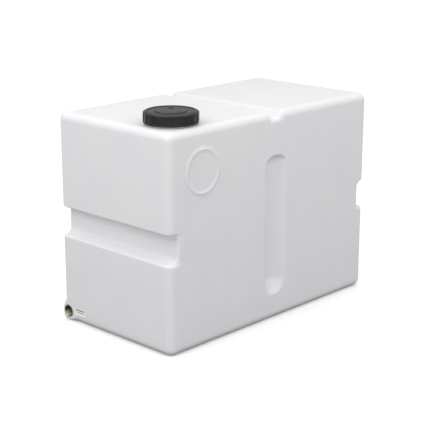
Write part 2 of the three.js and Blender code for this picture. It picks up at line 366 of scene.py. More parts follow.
class Pad:
    """The node tree of one material or world."""

    def __init__(self, owner: bpy.types.Material | bpy.types.World, output: str) -> None:
        """Leaves the owner's tree with nothing but its output."""
        owner.use_nodes = True
        self.owner = owner
        self.tree = owner.node_tree
        self.tree.nodes.clear()
        self.output = self.tree.nodes.new(output)

    def node(self, kind: str, settings: dict[str, Any] | None = None,
             inputs: dict[str | int, Value] | None = None, out: str | int = 0) -> Wire:
        """Adds a node.

        Args:
            kind: the node's type.
            settings: its own settings, set before its sockets.
            inputs: values, colours or wires for its sockets.
            out: the output that is wanted.

        Returns:
            A wire from that output.
        """
        made = self.tree.nodes.new(kind)
        for key, value in (settings or {}).items():
            setattr(made, key, value)
        for key, value in (inputs or {}).items():
            socket = made.inputs[key]
            if isinstance(value, Wire):
                self.tree.links.new(value.socket, socket)
            else:
                socket.default_value = (*value, 1.0) if socket.type == "RGBA" else value
        return Wire(self, made.outputs[out])

    def show(self, shader: Wire) -> None:
        """Ends the tree in a shader."""
        self.tree.links.new(shader.socket, self.output.inputs["Surface"])

    def show_to_camera(self, lit: Wire, seen: Wire) -> None:
        """Ends the tree in one shader for the camera and another for light that bounces."""
        self.show(self.node("ShaderNodeMixShader", inputs={
            0: self.node("ShaderNodeLightPath"), 1: lit, 2: seen}))

    def place(self) -> Wire:
        """Where a point is on the piece, in metres."""
        return self.node("ShaderNodeTexCoord", out="Object")

    def parts(self, offset: Sequence[float] = (0.0, 0.0, 0.0)) -> tuple[Wire, Wire, Wire]:
        """The place's three parts, measured from a point.

        Args:
            offset: the point.

        Returns:
            Wires along X, Y and Z.
        """
        from_there = self.node("ShaderNodeVectorMath", {"operation": "SUBTRACT"},
                               {0: self.place(), 1: tuple(offset)})
        split = self.node("ShaderNodeSeparateXYZ", inputs={0: from_there}).socket.node
        return tuple(Wire(self, split.outputs[i]) for i in range(3))

    def noise(self, size_mm: float, detail: float = 3.0, rough: float = 0.5) -> Wire:
        """Soft noise from 0 to 1, with patches of a size, and finer layers of a strength."""
        return self.node("ShaderNodeTexNoise", {"noise_dimensions": "3D"}, {
            "Vector": self.place(), "Scale": 1 / (size_mm * MM), "Detail": detail, "Roughness": rough})

    def specks(self, size_mm: float, radius: float) -> Wire:
        """Round specks: 1 within a share of a cell's size around its point, else 0."""
        cells = self.node("ShaderNodeTexVoronoi", {"feature": "F1"},
                          {"Vector": self.place(), "Scale": 1.0 / (size_mm * MM)})
        return cells.spread(radius, radius * 0.4)

    def mix(self, share: Value, first: Value, second: Value) -> Wire:
        """A colour between two colours."""
        return self.node("ShaderNodeMix", {"data_type": "RGBA"}, {0: share, 6: first, 7: second}, 2)

    def bump(self, height: Wire, depth_mm: float) -> Wire:
        """Tilts the surface by a height that runs from 0 to 1 over a depth."""
        return self.node("ShaderNodeBump", inputs={"Distance": depth_mm * MM, "Height": height})


class Finish:
    """A procedural finish, whose material takes its name."""

    name: str

    def paint(self, pad: Pad) -> dict[str, Value]:
        """Works out what goes into the principled shader's sockets."""
        raise NotImplementedError

    def material(self) -> bpy.types.Material:
        """Builds the material.

        Returns:
            The material.
        """
        pad = Pad(bpy.data.materials.new(self.name), "ShaderNodeOutputMaterial")
        pad.show(pad.node("ShaderNodeBsdfPrincipled", inputs=self.paint(pad)))
        return pad.owner


def dress(piece: bpy.types.Object, material: bpy.types.Material) -> bpy.types.Object:
    """Gives a piece one material, and hands the piece back.

    Args:
        piece: the piece.
        material: what it is to be made of.

    Returns:
        The piece.
    """
    if len(piece.material_slots) == 0:
        piece.data.materials.append(material)
    for slot in piece.material_slots:
        slot.material = material
    return piece


# Finishes

@dataclass(frozen=True)
class NaturalPolyethylene(Finish):
    """Milky rotomoulded polyethylene: orange peel, faint cloudiness and scuffs by the base."""

    name: str = "natural_polyethylene"
    tone: Triple = (0.8, 0.803, 0.82)
    cloud: Triple = (0.784, 0.786, 0.81)
    neutral: Triple = (0.806, 0.806, 0.804)
    scuff: Triple = (0.66, 0.66, 0.66)
    gloss: tuple[float, float] = (0.4, 0.52)
    glow_depth: float = 0.012

    def paint(self, pad: Pad) -> dict[str, Value]:
        """Works out the shader's inputs."""
        _, _, height = pad.parts()
        clouds = pad.noise(90.0, 4.0, 0.55).spread(0.3, 0.7)
        flecks = pad.specks(9.0, 0.1) * pad.noise(40.0, 1.0).above(0.5)
        drift = pad.noise(240.0, 2.0, 0.5).spread(0.38, 0.62)
        milky = pad.mix(clouds, self.cloud, self.tone)
        colour = pad.mix(drift * height.spread(0.08, 0.36, 0.0, 0.5), milky, self.neutral)
        foot = height.spread(0.012, 0.0) * pad.noise(6.0, 5.0, 0.7).spread(0.45, 0.7)
        colour = pad.mix((foot * 0.35 + flecks * 0.12).smaller(1.0), colour, self.scuff)
        peel, ripple = pad.noise(2.6, 2.0, 0.5), pad.noise(34.0, 1.0, 0.4)
        rough = pad.noise(14.0, 4.0, 0.6).spread(0.25, 0.75, *self.gloss)
        normal = pad.bump(peel * 0.35 + ripple * 2.0, 0.12)
        return {"Base Color": colour, "Roughness": rough, "Normal": normal, "IOR": 1.5,
                "Subsurface Weight": 0.15, "Subsurface Radius": (self.glow_depth,) * 3,
                "Subsurface Scale": 1.0}


@dataclass(frozen=True)
class MouldedBlack(Finish):
    """Black moulded plastic: fine spark-eroded grain, handling marks and a patchy dusting."""

    name: str
    tone: Triple
    dust: Triple
    gloss: tuple[float, float]
    grain_mm: float
    grain_depth_mm: float
    ior: float

    def paint(self, pad: Pad) -> dict[str, Value]:
        """Works out the shader's inputs."""
        patches = pad.noise(16.0, 5.0, 0.62).spread(0.35, 0.72)
        grain = pad.noise(self.grain_mm, 2.0, 0.6)
        marks = pad.noise(5.0, 6.0, 0.75).spread(0.62, 0.75)
        colour = pad.mix(patches * 0.5 + marks * 0.4, self.tone, self.dust)
        rough = (patches * (self.gloss[1] - self.gloss[0]) + self.gloss[0]) + marks * 0.06
        return {"Base Color": colour, "Roughness": rough, "IOR": self.ior,
                "Normal": pad.bump(grain, self.grain_depth_mm)}


@dataclass(frozen=True)
class Rubber(Finish):
    """Matt black rubber with a pale bloom."""

    name: str = "black_rubber"
    tone: Triple = (0.014, 0.014, 0.014)
    bloom: Triple = (0.035, 0.034, 0.032)

    def paint(self, pad: Pad) -> dict[str, Value]:
        """Works out the shader's inputs."""
        bloom = pad.noise(7.0, 5.0, 0.65).spread(0.4, 0.75)
        grain = pad.noise(0.35, 2.0, 0.6)
        return {"Base Color": pad.mix(bloom, self.tone, self.bloom), "IOR": 1.5,
                "Roughness": bloom * 0.12 + 0.72, "Normal": pad.bump(grain, 0.03)}


@dataclass(frozen=True)
class TurnedBrass(Finish):
    """Machined brass, dulled by water, with fine turning marks about the outlet's axis, and painted
    shade in the bore: darker deeper in and over its upper part.
    """

    mouth: Triple
    name: str = "brass"
    mark_mm: float = 0.22
    bright: Triple = (0.47, 0.455, 0.37)
    dull: Triple = (0.2, 0.19, 0.125)
    # painted shade colour for the inside of the bore
    bore_shade: Triple = (0.035, 0.034, 0.022)

    def paint(self, pad: Pad) -> dict[str, Value]:
        """Works out the shader's inputs."""
        x, y, z = pad.parts(self.mouth)
        along = (y * y + z * z).root() + x * 0.35
        lines = (along * (2 * math.pi / (self.mark_mm * MM))).wave() * 0.5 + 0.5
        tarnish = pad.noise(3.5, 6.0, 0.68).spread(0.32, 0.72)
        spots = pad.noise(0.9, 3.0, 0.6).spread(0.6, 0.75)
        colour = pad.mix((tarnish * 0.8 + spots * 0.3).smaller(1.0), self.bright, self.dull)
        # painted shade: the bore is painted darker from 3 mm in, and over its upper part from just
        # inside the mouth
        shade = x.spread(0.003, 0.018).larger(z.spread(-0.006, 0.0015) * x.spread(0.0001, 0.001))
        colour = pad.mix(shade * (1.0 - tarnish * 0.2), colour, self.bore_shade)
        return {"Base Color": colour, "Metallic": 1.0 - spots * 0.25,
                "Roughness": tarnish * 0.16 + 0.22, "Normal": pad.bump(lines, 0.012)}


@dataclass(frozen=True)
class WovenSteel(Finish):
    """Fine stainless screen cloth: wires over and under each other, with the gaps painted near black as
    painted shade seen through them.
    """

    name: str = "screen_steel"
    pitch_mm: float = 0.42
    wire: Triple = (0.52, 0.52, 0.5)
    # painted shade: near-black colour for the dark space seen through the gaps
    gap: Triple = (0.012, 0.012, 0.012)

    def paint(self, pad: Pad) -> dict[str, Value]:
        """Works out the shader's inputs."""
        x, y, _ = pad.parts()
        turn = math.pi / (self.pitch_mm * MM)
        along, across = (x * turn).wave(), (y * turn).wave()
        weave = along.size().larger(across.size())
        open_gap = weave.spread(0.75, 0.6)
        # painted shade in the gaps between the wires
        colour = pad.mix(open_gap, self.wire, self.gap)
        return {"Base Color": colour, "Metallic": 1.0 - open_gap,
                "Roughness": pad.noise(0.6).spread(0.3, 0.7, 0.3, 0.45),
                "Normal": pad.bump(weave + along * across * 0.3, 0.08)}


@dataclass(frozen=True)
class PrintedSticker(Finish):
    """White vinyl with rows of plain dark bars in place of words."""

    middle: Triple
    name: str = "label_vinyl"
    paper: Triple = (0.99, 0.99, 0.99)
    aged: Triple = (0.94, 0.937, 0.925)
    ink: Triple = (0.035, 0.035, 0.04)

    @staticmethod
    def _bar(y: Wire, z: Wire, sizes: Sequence[float]) -> Wire:
        """One dark bar: 1 inside a box given by its middle and half sizes, in millimetres.

        Args:
            y, z: the place, measured from the middle of the label.
            sizes: middle and half sizes.

        Returns:
            The share of ink.
        """
        mid_y, mid_z, half_y, half_z = (size * MM for size in sizes)
        edge = 0.12 * MM
        in_y = (y - mid_y).size().spread(half_y + edge, half_y)
        return in_y * (z - mid_z).size().spread(half_z + edge, half_z)

    def paint(self, pad: Pad) -> dict[str, Value]:
        """Works out the shader's inputs."""
        _, y, z = pad.parts(self.middle)
        bars = ((9.4, 4.7, 5.6, 1.3), (-2.8, 4.7, 6.0, 1.3), (-12.6, 4.7, 3.2, 1.3),
                (8.4, -0.9, 5.2, 0.8), (-2.8, -0.9, 5.4, 0.8), (-11.4, -0.9, 2.6, 0.8))
        ink = self._bar(y, z, bars[0])
        for bar in bars[1:]:
            ink = ink.larger(self._bar(y, z, bar))
        broken = ink * pad.noise(0.3, 3.0, 0.7).spread(0.16, 0.26)
        ageing = pad.noise(11.0, 4.0, 0.6).spread(0.35, 0.75)
        paper = pad.mix(ageing * 0.4, self.paper, self.aged)
        return {"Base Color": pad.mix(broken, paper, self.ink), "IOR": 1.48,
                "Roughness": ageing * 0.1 + 0.42 - broken * 0.08,
                "Normal": pad.bump(pad.noise(1.4, 2.0), 0.02)}


# The rotomoulded shell

@dataclass(frozen=True)
class Channel:
    """Strap channel: its sides curve out from a flat floor to a rounded mouth."""

    at: float
    floor: float
    mouth: float
    depth: float
    lean: float = 1.0

    def sink(self, place: Array) -> tuple[Array, Array]:
        """Depth of the channel at each place across it, and how steeply it changes.

        depth = D (1 + cos(pi s^n)) / 2, with s from 0 at the floor's edge to 1 at the mouth. A
        larger n keeps the sides low for longer and makes them steeper by the mouth.

        Args:
            place: places across the channel.

        Returns:
            The depth and its slope.
        """
        run = (self.mouth - self.floor) / 2
        s = np.clip((np.abs(place - self.at) - self.floor / 2) / run, 0.0, 1.0)
        phase = np.pi * s ** self.lean
        depth = self.depth * (1 + np.cos(phase)) / 2
        slope = self.depth * np.pi * self.lean * s ** (self.lean - 1) * np.sin(phase) / (2 * run)
        return depth, slope


@dataclass
class TankShell:
    """One-piece moulding with an inner skin, its filler neck, its outlet boss and its pocket."""

    wall: float = 0.006
    edge: float = 0.018
    core_depth: float = 0.05
    start_gap: float = 0.004
    halvings: int = 26
    height: float = 0.51
    channel_sharpening: float = 0.6
    recess_bottom: float = 0.097
    recess_top: float = 0.386
    recess_radius: float = 0.0406
    recess_half_width: float = 0.035
    recess_crown: float = 0.6
    recess_lip: float = 0.0018
    ring_radius: float = 0.05
    ring_half_width: float = 0.0058
    ring_proud: float = 0.003
    outlet_y: float = 0.168
    outlet_z: float = 0.0225
    outlet_edge: float = 0.003
    outlet_bulge: float = 0.003
    corner_reach: float = 0.033
    corner_fade: float = 0.017
    corner_stretch: float = 0.6
    boss_radius: float = 0.02
    boss_reach: float = 0.018
    boss_blend: float = 0.004
    hole: float = 0.011
    hole_depth: float = 0.058
    neck_bore: float = 0.05
    neck_outer: float = 0.054
    neck_flare: float = 0.057
    neck_rim: float = 0.534
    neck_round: float = 0.0012
    neck_sides: int = 168
    thread_start: float = 0.5185
    thread_proud: float = 0.0024
    finish: NaturalPolyethylene = NaturalPolyethylene()
    length: float = field(init=False)
    width: float = field(init=False)
    end_channel: Channel = field(init=False)
    top_channel: Channel = field(init=False)

    def __post_init__(self) -> None:
        """Takes the tank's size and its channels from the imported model."""
        low, high = box("tank_body")
        self.length = high[0] - low[0]
        self.width = 2 * abs(low[1]) - 2 * self.ring_proud
        end, top = mount("outlet_end_strap"), mount("top_strap")
        self.end_channel = Channel(at=end[2], floor=0.04, mouth=0.077,
                                   depth=self.length / 2 + end[0], lean=1.25)
        self.top_channel = Channel(at=top[0], floor=0.022, mouth=0.05, depth=self.height - top[2])

    def outlet(self) -> Triple:
        """Middle of the outlet's mouth."""
        return (-self.length / 2, self.outlet_y, self.outlet_z)

    def _outlet_share(self, x: Array, y: Array, z: Array) -> Array:
        """How much a point belongs to the outlet's corner: 1 by its axis, 0 away from it."""
        away = np.sqrt((y - self.outlet_y) ** 2 + (z - self.outlet_z) ** 2
                       + (self.corner_stretch * (x + self.length / 2)) ** 2)
        return smooth_step((self.corner_reach - away) / self.corner_fade)

    def _recess(self, x: Array, z: Array) -> Array:
        """Depth of the long sides' recess: a circle's arc, sqrt(R^2 - x^2) - c.

        Below its straight part it is scaled by 1 - 3 t / 4 - t^4 / 4, a scoop, and above it by
        1 - t^12, a step. t runs from the straight part to the edge of a half ellipse. A depth d
        then becomes k d^2 / (d + lip), so that the trough starts softly.

        Args:
            x, z: places on a long side.

        Returns:
            The depth at each place.
        """
        centre_out = math.sqrt(self.recess_radius ** 2 - self.recess_half_width ** 2)
        inside = np.minimum(np.abs(x), self.recess_half_width * 0.9999)
        trough = np.sqrt(self.recess_radius ** 2 - inside ** 2) - centre_out
        end = np.sqrt(self.recess_half_width ** 2 - inside ** 2)
        low = np.clip((self.recess_bottom - z) / end, 0.0, 1.0)
        high = np.clip((z - self.recess_top) / (end * self.recess_crown), 0.0, 1.0)
        share = (1.0 - 0.75 * low - 0.25 * low ** 4) * (1.0 - high ** 12)
        depth = np.where(np.abs(x) < self.recess_half_width, np.maximum(trough * share, 0.0), 0.0)
        deepest = self.recess_radius - centre_out
        return depth ** 2 / (depth + self.recess_lip) * (deepest + self.recess_lip) / deepest

    def _ring(self, x: Array, y: Array, z: Array) -> Array:
        """Height of the raised ring: a raised cosine across a circle on the -Y side.

        Args:
            x, y, z: places.

        Returns:
            The height at each place.
        """
        pad = mount("fitting_pad")
        away = np.abs(np.hypot(x - pad[0], z - pad[2]) - self.ring_radius)
        t = np.clip(away / self.ring_half_width, 0.0, 1.0)
        return np.where(y < 0, self.ring_proud * (1 + np.cos(np.pi * t)) / 2, 0.0)

    def _recess_hull(self, x: Array, z: Array, reach: float) -> Array:
        """Deepest that the recess gets anywhere within a reach of each place.

        Args:
            x, z: places on a long side.
            reach: how far to look round each place.

        Returns:
            The depth at each place.
        """
        turns = np.linspace(0.0, 2 * np.pi, 8, endpoint=False)
        around = [self._recess(x + reach * np.cos(turn), z + reach * np.sin(turn)) for turn in turns]
        return np.maximum.reduce([self._recess(x, z)] + around)

    def depth_field(self, points: Array, wall: float = 0.0) -> Array:
        """Signed distance, near enough, to the outside: below zero inside.

        Slabs, sunk by the channels and recesses and divided by their slopes, are joined by
        |max(q + r, 0)| + min(max(q + r), 0) - r, a box rounded by r.

        Args:
            points: rows of x, y, z.
            wall: how much wall the recess keeps around it.

        Returns:
            The field at each point.
        """
        x, y, z = points.T
        share = self._outlet_share(x, y, z)
        edge = self.edge + (self.outlet_edge - self.edge) * share
        end_depth, end_slope = self.end_channel.sink(z)
        top_depth, top_slope = self.top_channel.sink(x)
        upper = smooth_step(z / self.height * 4 - 3)  # the top channel sharpens only edges up there
        sunk = np.maximum(end_depth / self.end_channel.depth,
                          top_depth / self.top_channel.depth * upper)
        edge = edge * (1.0 - self.channel_sharpening * sunk)
        recess = self._recess_hull(x, z, wall) if wall else self._recess(x, z)
        bulge = np.where(y > 0, self.outlet_bulge * share, 0.0)
        slab_x = (np.abs(x) - self.length / 2 + end_depth) / np.hypot(1.0, end_slope)
        slab_y = np.abs(y) - self.width / 2 + recess - self._ring(x, y, z) - bulge
        slab_top = (z - self.height + top_depth) / np.hypot(1.0, top_slope)
        slab_z = np.maximum(slab_top, -z)
        q = np.column_stack([slab_x, slab_y, slab_z]) + edge[:, None]
        return np.linalg.norm(np.maximum(q, 0.0), axis=1) + np.minimum(q.max(axis=1), 0.0) - edge

    def cavity_field(self, points: Array) -> Array:
        """The outside drawn in by the wall, less the boss around the outlet.

        Args:
            points: rows of x, y, z.

        Returns:
            The field at each point, below zero inside the cavity.
        """
        x, y, z = points.T
        low = -self.length / 2
        along = np.clip(x, low, low + self.boss_reach)
        away = np.sqrt((x - along) ** 2 + (y - self.outlet_y) ** 2 + (z - self.outlet_z) ** 2)
        boss = self.boss_radius - away
        return soft_max(self.depth_field(points, self.wall) + self.wall, boss, self.boss_blend)

    @staticmethod
    def _stations(*path: float) -> Array:
        """Places along one side, from a path in millimetres: a place, a step, a place, and so on."""
        runs = [np.linspace(a, b, round((b - a) / step) + 1)
                for a, step, b in zip(path[:-2:2], path[1::2], path[2::2])]
        return np.unique(np.round(np.concatenate(runs), 6)) * MM

    def _skin(self, stations: Sequence[Array], level: Callable[[Array], Array]) -> Surface:
        """Shrinks a box of grids onto a field's zero.

        Each grid point slides from the box towards the nearest point of the box's core, and
        stops where the field is zero, which repeated halving finds.

        Args:
            stations: places along X, Y and Z.
            level: field to stop at.

        Returns:
            A closed surface that faces outwards.
        """
        half = np.array([self.length / 2, self.width / 2, self.height / 2])
        middle = np.array([0.0, 0.0, self.height / 2])
        patches = []
        for axis, (u, v) in enumerate(((1, 2), (2, 0), (0, 1))):
            faces = grid_faces(len(stations[v]), len(stations[u]))
            for side, turned in ((-1, faces[:, ::-1]), (1, faces)):
                grid = np.zeros((len(stations[v]), len(stations[u]), 3))
                grid[..., u], grid[..., v] = stations[u][None, :], stations[v][:, None]
                grid[..., axis] = middle[axis] + side * (half[axis] + self.start_gap)
                patches.append(Surface(grid.reshape(-1, 3), turned))
        crate = joined(patches)
        reach = half - self.core_depth
        way = np.clip(crate.points, middle - reach, middle + reach) - crate.points
        near, far = np.zeros(len(way)), np.ones(len(way))
        for _ in range(self.halvings):
            mid = (near + far) / 2
            outside = level(crate.points + way * mid[:, None]) > 0
            near, far = np.where(outside, mid, near), np.where(outside, far, mid)
        return Surface(crate.points + way * near[:, None], crate.faces)

    def _outer_stations(self) -> list[Array]:
        """Fine where the outside curves, coarse on its flats."""
        return [
            self._stations(-354, 3.0, -318, 3.5, -304, 3.4, -188, 15, -50, 3.2, 50, 16, 300, 3.5, 318,
                           3.0, 354),
            self._stations(-189, 2.8, -164, 8, -130, 15, 126, 4.5, 140, 2.2, 189),
            self._stations(-4, 2.3, 50, 2.2, 66, 4, 106, 14, 200, 2.6, 296, 10, 356, 3.4, 396, 1.5, 412,
                           3.5, 472, 4, 488, 2.6, 514)]

    def _inner_stations(self) -> list[Array]:
        """A coarser set for the inner skin."""
        return [self._stations(-354, 5, -300, 18, -50, 5, 50, 18, 300, 6, 354),
                self._stations(-189, 6, -150, 18, 120, 5, 189),
                self._stations(-4, 5, 110, 14, 200, 5, 296, 14, 380, 3, 420, 14, 470, 6, 514)]

    def _neck(self) -> Surface:
        """Filler neck: a flared tube whose outside carries the thread's ridge."""
        foot, rim, core = self.height, self.neck_rim, self.neck_bore - self.wall
        flare = self.neck_flare
        profile = rounded([
            (core, foot - 0.004, 0), (flare + 0.0012, foot - 0.004, 0),
            (flare + 0.0012, foot - 0.0002, 0), (flare - 0.0016, foot + 0.0012, 0.001),
            (self.neck_outer, foot + 0.0042, 0.0018), (self.neck_outer, rim, self.neck_round),
            (core, rim, 0)], spacing=0.0006)

        def swell(angle: Array, radius: Array, height: Array) -> Array:
            """Ridge on the outside of the neck only."""
            ridge = LidThread().ridge(angle, height, self.thread_start) * self.thread_proud
            return np.where(radius > self.neck_outer - 1e-5, ridge, 0.0)

        return revolve(profile, self.neck_sides, swell).moved(*axis_of("lid_seal"))

    def _bore(self) -> Surface:
        """What is cut out of the neck: the bore with a softly rounded rim."""
        low, rim, bore = self.height - 0.012, self.neck_rim, self.neck_bore
        profile = rounded([
            (0.0, low, 0), (bore, low, 0), (bore, rim, self.neck_round), (bore + 0.002, rim, 0),
            (bore + 0.002, rim + 0.004, 0), (0.0, rim + 0.004, 0)], steps=5)
        return revolve(profile, self.neck_sides).moved(*axis_of("lid_seal"))

    def _pocket(self, insert: "OutletInsert") -> Surface:
        """What is cut out of the boss: the insert's pocket, with a softened lip, and the hole.

        Args:
            insert: the insert that the pocket holds.

        Returns:
            The closed surface to cut away.
        """
        gap = insert.gap
        core, grip, end = insert.core + gap, insert.grip + gap, insert.length + gap
        profile = rounded([
            (0.0, -0.006, 0), (core + 0.003, -0.006, 0), (core + 0.0012, 0.0, 0.0008),
            (core, 0.0012, 0.0006), (core, insert.grip_from - gap, 0),
            (grip, insert.grip_from - gap, 0), (grip, insert.grip_to + gap, 0),
            (core, insert.grip_to + gap, 0), (core, end, 0), (self.hole, end, 0),
            (self.hole, self.hole_depth, 0), (0.0, self.hole_depth, 0)], steps=3)
        return revolve(profile, 96).along_x().moved(*self.outlet())

    def build(self, insert: "OutletInsert", sticker: "Sticker") -> bpy.types.Object:
        """Builds the shell.

        Args:
            insert: the brass insert that its pocket holds.
            sticker: the label that its flat holds.

        Returns:
            The shell, as one closed piece.
        """
        shell = make_piece("tank_shell", self._skin(self._outer_stations(), self.depth_field),
                           Body.TANK, ["tank_body"])
        combine(shell, self._neck(), Cut.JOIN)
        cavity = self._skin(self._inner_stations(), self.cavity_field)
        for removed in (cavity, self._bore(), self._pocket(insert), sticker.flat()):
            combine(shell, removed, Cut.REMOVE)
        return dress(shell, self.finish.material())


# Outlet and sticker

@dataclass
class OutletInsert:
    """Brass insert: a collar moulded into the boss, threaded all the way through."""

    length: float = 0.022
    core: float = 0.015
    grip: float = 0.017
    grip_from: float = 0.005
    grip_to: float = 0.016
    gap: float = 0.0001
    mouth: float = 0.0136
    chamfer: float = 0.0016
    thread_crest: float = 0.01206
    thread_depth: float = 0.00116
    thread_pitch: float = 0.001814
    thread_rows: int = 90
    run_in: float = 0.0012
    arris: float = 0.0003

    def _thread(self, angle: Array, radius: Array, height: Array) -> Array:
        """Grooves of a V thread: |saw| of the height less the helix's climb.

        Args:
            angle, radius, height: places on the turned surface.

        Returns:
            How much wider it is there.
        """
        phase = (height / self.thread_pitch - angle / (2 * np.pi)) % 1.0
        groove = 1.0 - np.abs(2.0 * phase - 1.0)
        depth = self.thread_depth * groove * smooth_step((height - self.chamfer) / self.run_in)
        return np.where(np.abs(radius - self.thread_crest) < 1e-6, depth, 0.0)

    def build(self, shell: TankShell) -> bpy.types.Object:
        """Builds the insert into the shell that holds it.

        Args:
            shell: the shell.

        Returns:
            The insert.
        """
        bore = np.linspace(self.length, self.chamfer, self.thread_rows)
        wall = np.column_stack([np.full_like(bore, self.thread_crest), bore])
        outside = rounded([
            (self.mouth, 0.0, 0), (self.core, 0.0, 0.0004), (self.core, self.grip_from, 0),
            (self.grip, self.grip_from, self.arris), (self.grip, self.grip_to, self.arris),
            (self.core, self.grip_to, 0), (self.core, self.length, self.arris),
            (self.thread_crest, self.length, 0)], steps=3)
        surface = revolve(np.vstack([outside, wall[1:]]), 96, self._thread).along_x()
        insert = make_piece("outlet_thread_insert", surface.moved(*shell.outlet()), Body.TANK,
                            ["outlet_insert"])
        return dress(insert, TurnedBrass(shell.outlet()).material())


@dataclass
class Sticker:
    """Thin printed label with rounded corners, stuck in a shallow flat beside the outlet."""

    thick: float = 0.0003
    flat_depth: float = 0.00034
    flat_gap: float = 0.00025
    glue: float = 0.00002
    corner_power: float = 14.0
    outline_points: int = 160

    def _sheet(self, grow: float, scale: Sequence[float], depth: Sequence[float]) -> Surface:
        """A closed sheet that faces -X: rings of an outline that shrink to the middle on both faces.

        The outline is a superellipse, (a sgn(c)|c|^(2/n), b sgn(s)|s|^(2/n)) for the cosine c and
        sine s of each angle.

        Args:
            grow: how far the outline grows.
            scale: size of each ring, from the middle of the front to the middle of the back.
            depth: how far each ring lies behind the front.

        Returns:
            The sheet.
        """
        low, high = box("label")
        half, middle = (high - low) / 2 + grow, (high + low) / 2
        angle = np.linspace(0, 2 * np.pi, self.outline_points, endpoint=False)
        c, s = np.cos(angle), np.sin(angle)
        power = 2.0 / self.corner_power
        y = middle[1] + np.outer(scale, half[1] * np.sign(c) * np.abs(c) ** power).ravel()
        z = middle[2] + np.outer(scale, half[2] * np.sign(s) * np.abs(s) ** power).ravel()
        x = low[0] + np.repeat(np.asarray(depth), len(angle))
        return joined([Surface(np.column_stack([x, y, z]), grid_faces(len(scale), len(angle), True))],
                      tolerance=1e-7)

    def flat(self) -> Surface:
        """What is cut out of the shell for the label."""
        return self._sheet(self.flat_gap, [0, 1, 1, 0],
                           [-0.003, -0.003, self.flat_depth, self.flat_depth])

    def build(self) -> bpy.types.Object:
        """Builds the label.

        Returns:
            The label.
        """
        back = self.flat_depth - self.glue
        front, edge = back - self.thick, 0.3 * self.thick
        sheet = self._sheet(0.0, [0.0, 0.5, 0.9, 0.985, 1.0, 1.0, 0.9, 0.5, 0.0],
                            [front] * 3 + [front + 0.1 * edge, front + edge] + [back] * 4)
        sticker = make_piece("tank_label", sheet, Body.TANK, ["label"])
        return dress(sticker, PrintedSticker(tuple(sum(box("label")) / 2)).material())


# Screw lid, seal and breather

@dataclass
class ScrewLid:
    """Lid with grip lugs, a foot bead, a rim, a raised middle and a thread inside its skirt."""

    bottom: float = 0.514
    top: float = 0.5415
    outer: float = 0.0605
    inner: float = 0.0578
    plate: float = 0.004
    foot: float = 0.062
    foot_height: float = 0.0025
    lugs: int = 18
    lug_proud: float = 0.002
    lug_flat: float = 4.5
    lug_bottom: float = 0.516
    lug_top: float = 0.5352
    rim_top: float = 0.541
    shoulder: float = 0.0035
    rim_inner: float = 0.054
    groove: float = 0.5394
    groove_inner: float = 0.037
    lip_inner: float = 0.0455
    lip_outer: float = 0.0475
    lip_drop: float = 0.004
    hole: float = 0.0048
    counterbore: float = 0.0078
    counterbore_depth: float = 0.0017
    thread_start: float = 0.5159
    thread_proud: float = 0.0026
    finish: MouldedBlack = MouldedBlack("black_polypropylene", (0.008, 0.008, 0.008),
                                        (0.019, 0.019, 0.018), (0.32, 0.44), 0.45, 0.03, 1.49)

    def _profile(self) -> Array:
        """Section of the lid, from the middle of its top out, down the skirt and back inside."""
        under = self.top - self.plate
        return rounded([
            (0.0, under, 0), (self.lip_inner, under, 0.0006),
            (self.lip_inner, under - self.lip_drop, 0.0005),
            (self.lip_outer, under - self.lip_drop, 0.0005), (self.lip_outer, under, 0.0004),
            (self.inner, under, 0.0008), (self.inner, self.bottom, 0.0006),
            (self.foot, self.bottom, 0.0006), (self.foot, self.bottom + self.foot_height, 0.0006),
            (self.outer, self.bottom + self.foot_height + 0.0009, 0.0005),
            (self.outer, self.rim_top - self.shoulder, 0.0012),
            (self.outer - self.shoulder, self.rim_top, 0.0013), (self.rim_inner, self.rim_top, 0.0008),
            (self.rim_inner - 0.0008, self.groove, 0.0006),
            (self.groove_inner + 0.0008, self.groove, 0.0006),
            (self.groove_inner, self.top, 0.0007), (0.0, self.top, 0)], spacing=0.0011)

    def _swell(self, angle: Array, radius: Array, height: Array) -> Array:
        """Grip lugs outside and the thread's ridge inside.

        A lug stands (1 + tanh(k cos(n a)) / tanh(k)) / 2 of its height. It fades in above the foot
        bead and runs into a full ring under the shoulder, which fades out over the shoulder.

        Args:
            angle, radius, height: places on the turned surface.

        Returns:
            How much wider it is there.
        """
        wave = np.tanh(self.lug_flat * np.cos(self.lugs * angle)) / math.tanh(self.lug_flat)
        foot = smooth_step((height - self.lug_bottom - 0.0004) / 0.0012)
        ring = smooth_step((height - self.lug_top) / 0.0012)
        over = smooth_step((self.rim_top - height) / self.shoulder)
        outside = (radius > self.inner + 0.0012) & (radius < self.outer + 0.0002)
        share = (ring + (1 - ring) * foot * (1 + wave) / 2) * over
        lug = np.where(outside, share * self.lug_proud, 0.0)
        ridge = LidThread().ridge(angle, height, self.thread_start) * self.thread_proud
        inside = (np.abs(radius - self.inner) < 2e-5) & (height < self.top - self.plate - 0.001)
        return lug - np.where(inside, ridge, 0.0)

    def build(self) -> bpy.types.Object:
        """Builds the lid, with the hole and counterbore that hold the breather.

        Returns:
            The lid.
        """
        surface = revolve(self._profile(), 432, self._swell).moved(*axis_of("lid_seal"))
        lid = make_piece("screw_lid_moulding", surface, Body.LID, ["screw_lid"])
        step, wide = self.top - self.counterbore_depth, self.counterbore + 0.0006
        hole = rounded([
            (0.0, self.top - 0.006, 0), (self.hole, self.top - 0.006, 0), (self.hole, step, 0),
            (self.counterbore, step, 0), (self.counterbore, self.top - 0.0003, 0),
            (wide, self.top + 0.0003, 0), (wide, self.top + 0.001, 0), (0.0, self.top + 0.001, 0)])
        combine(lid, revolve(hole, 64).moved(*axis_of("vent_plug")), Cut.REMOVE)
        return dress(lid, self.finish.material())


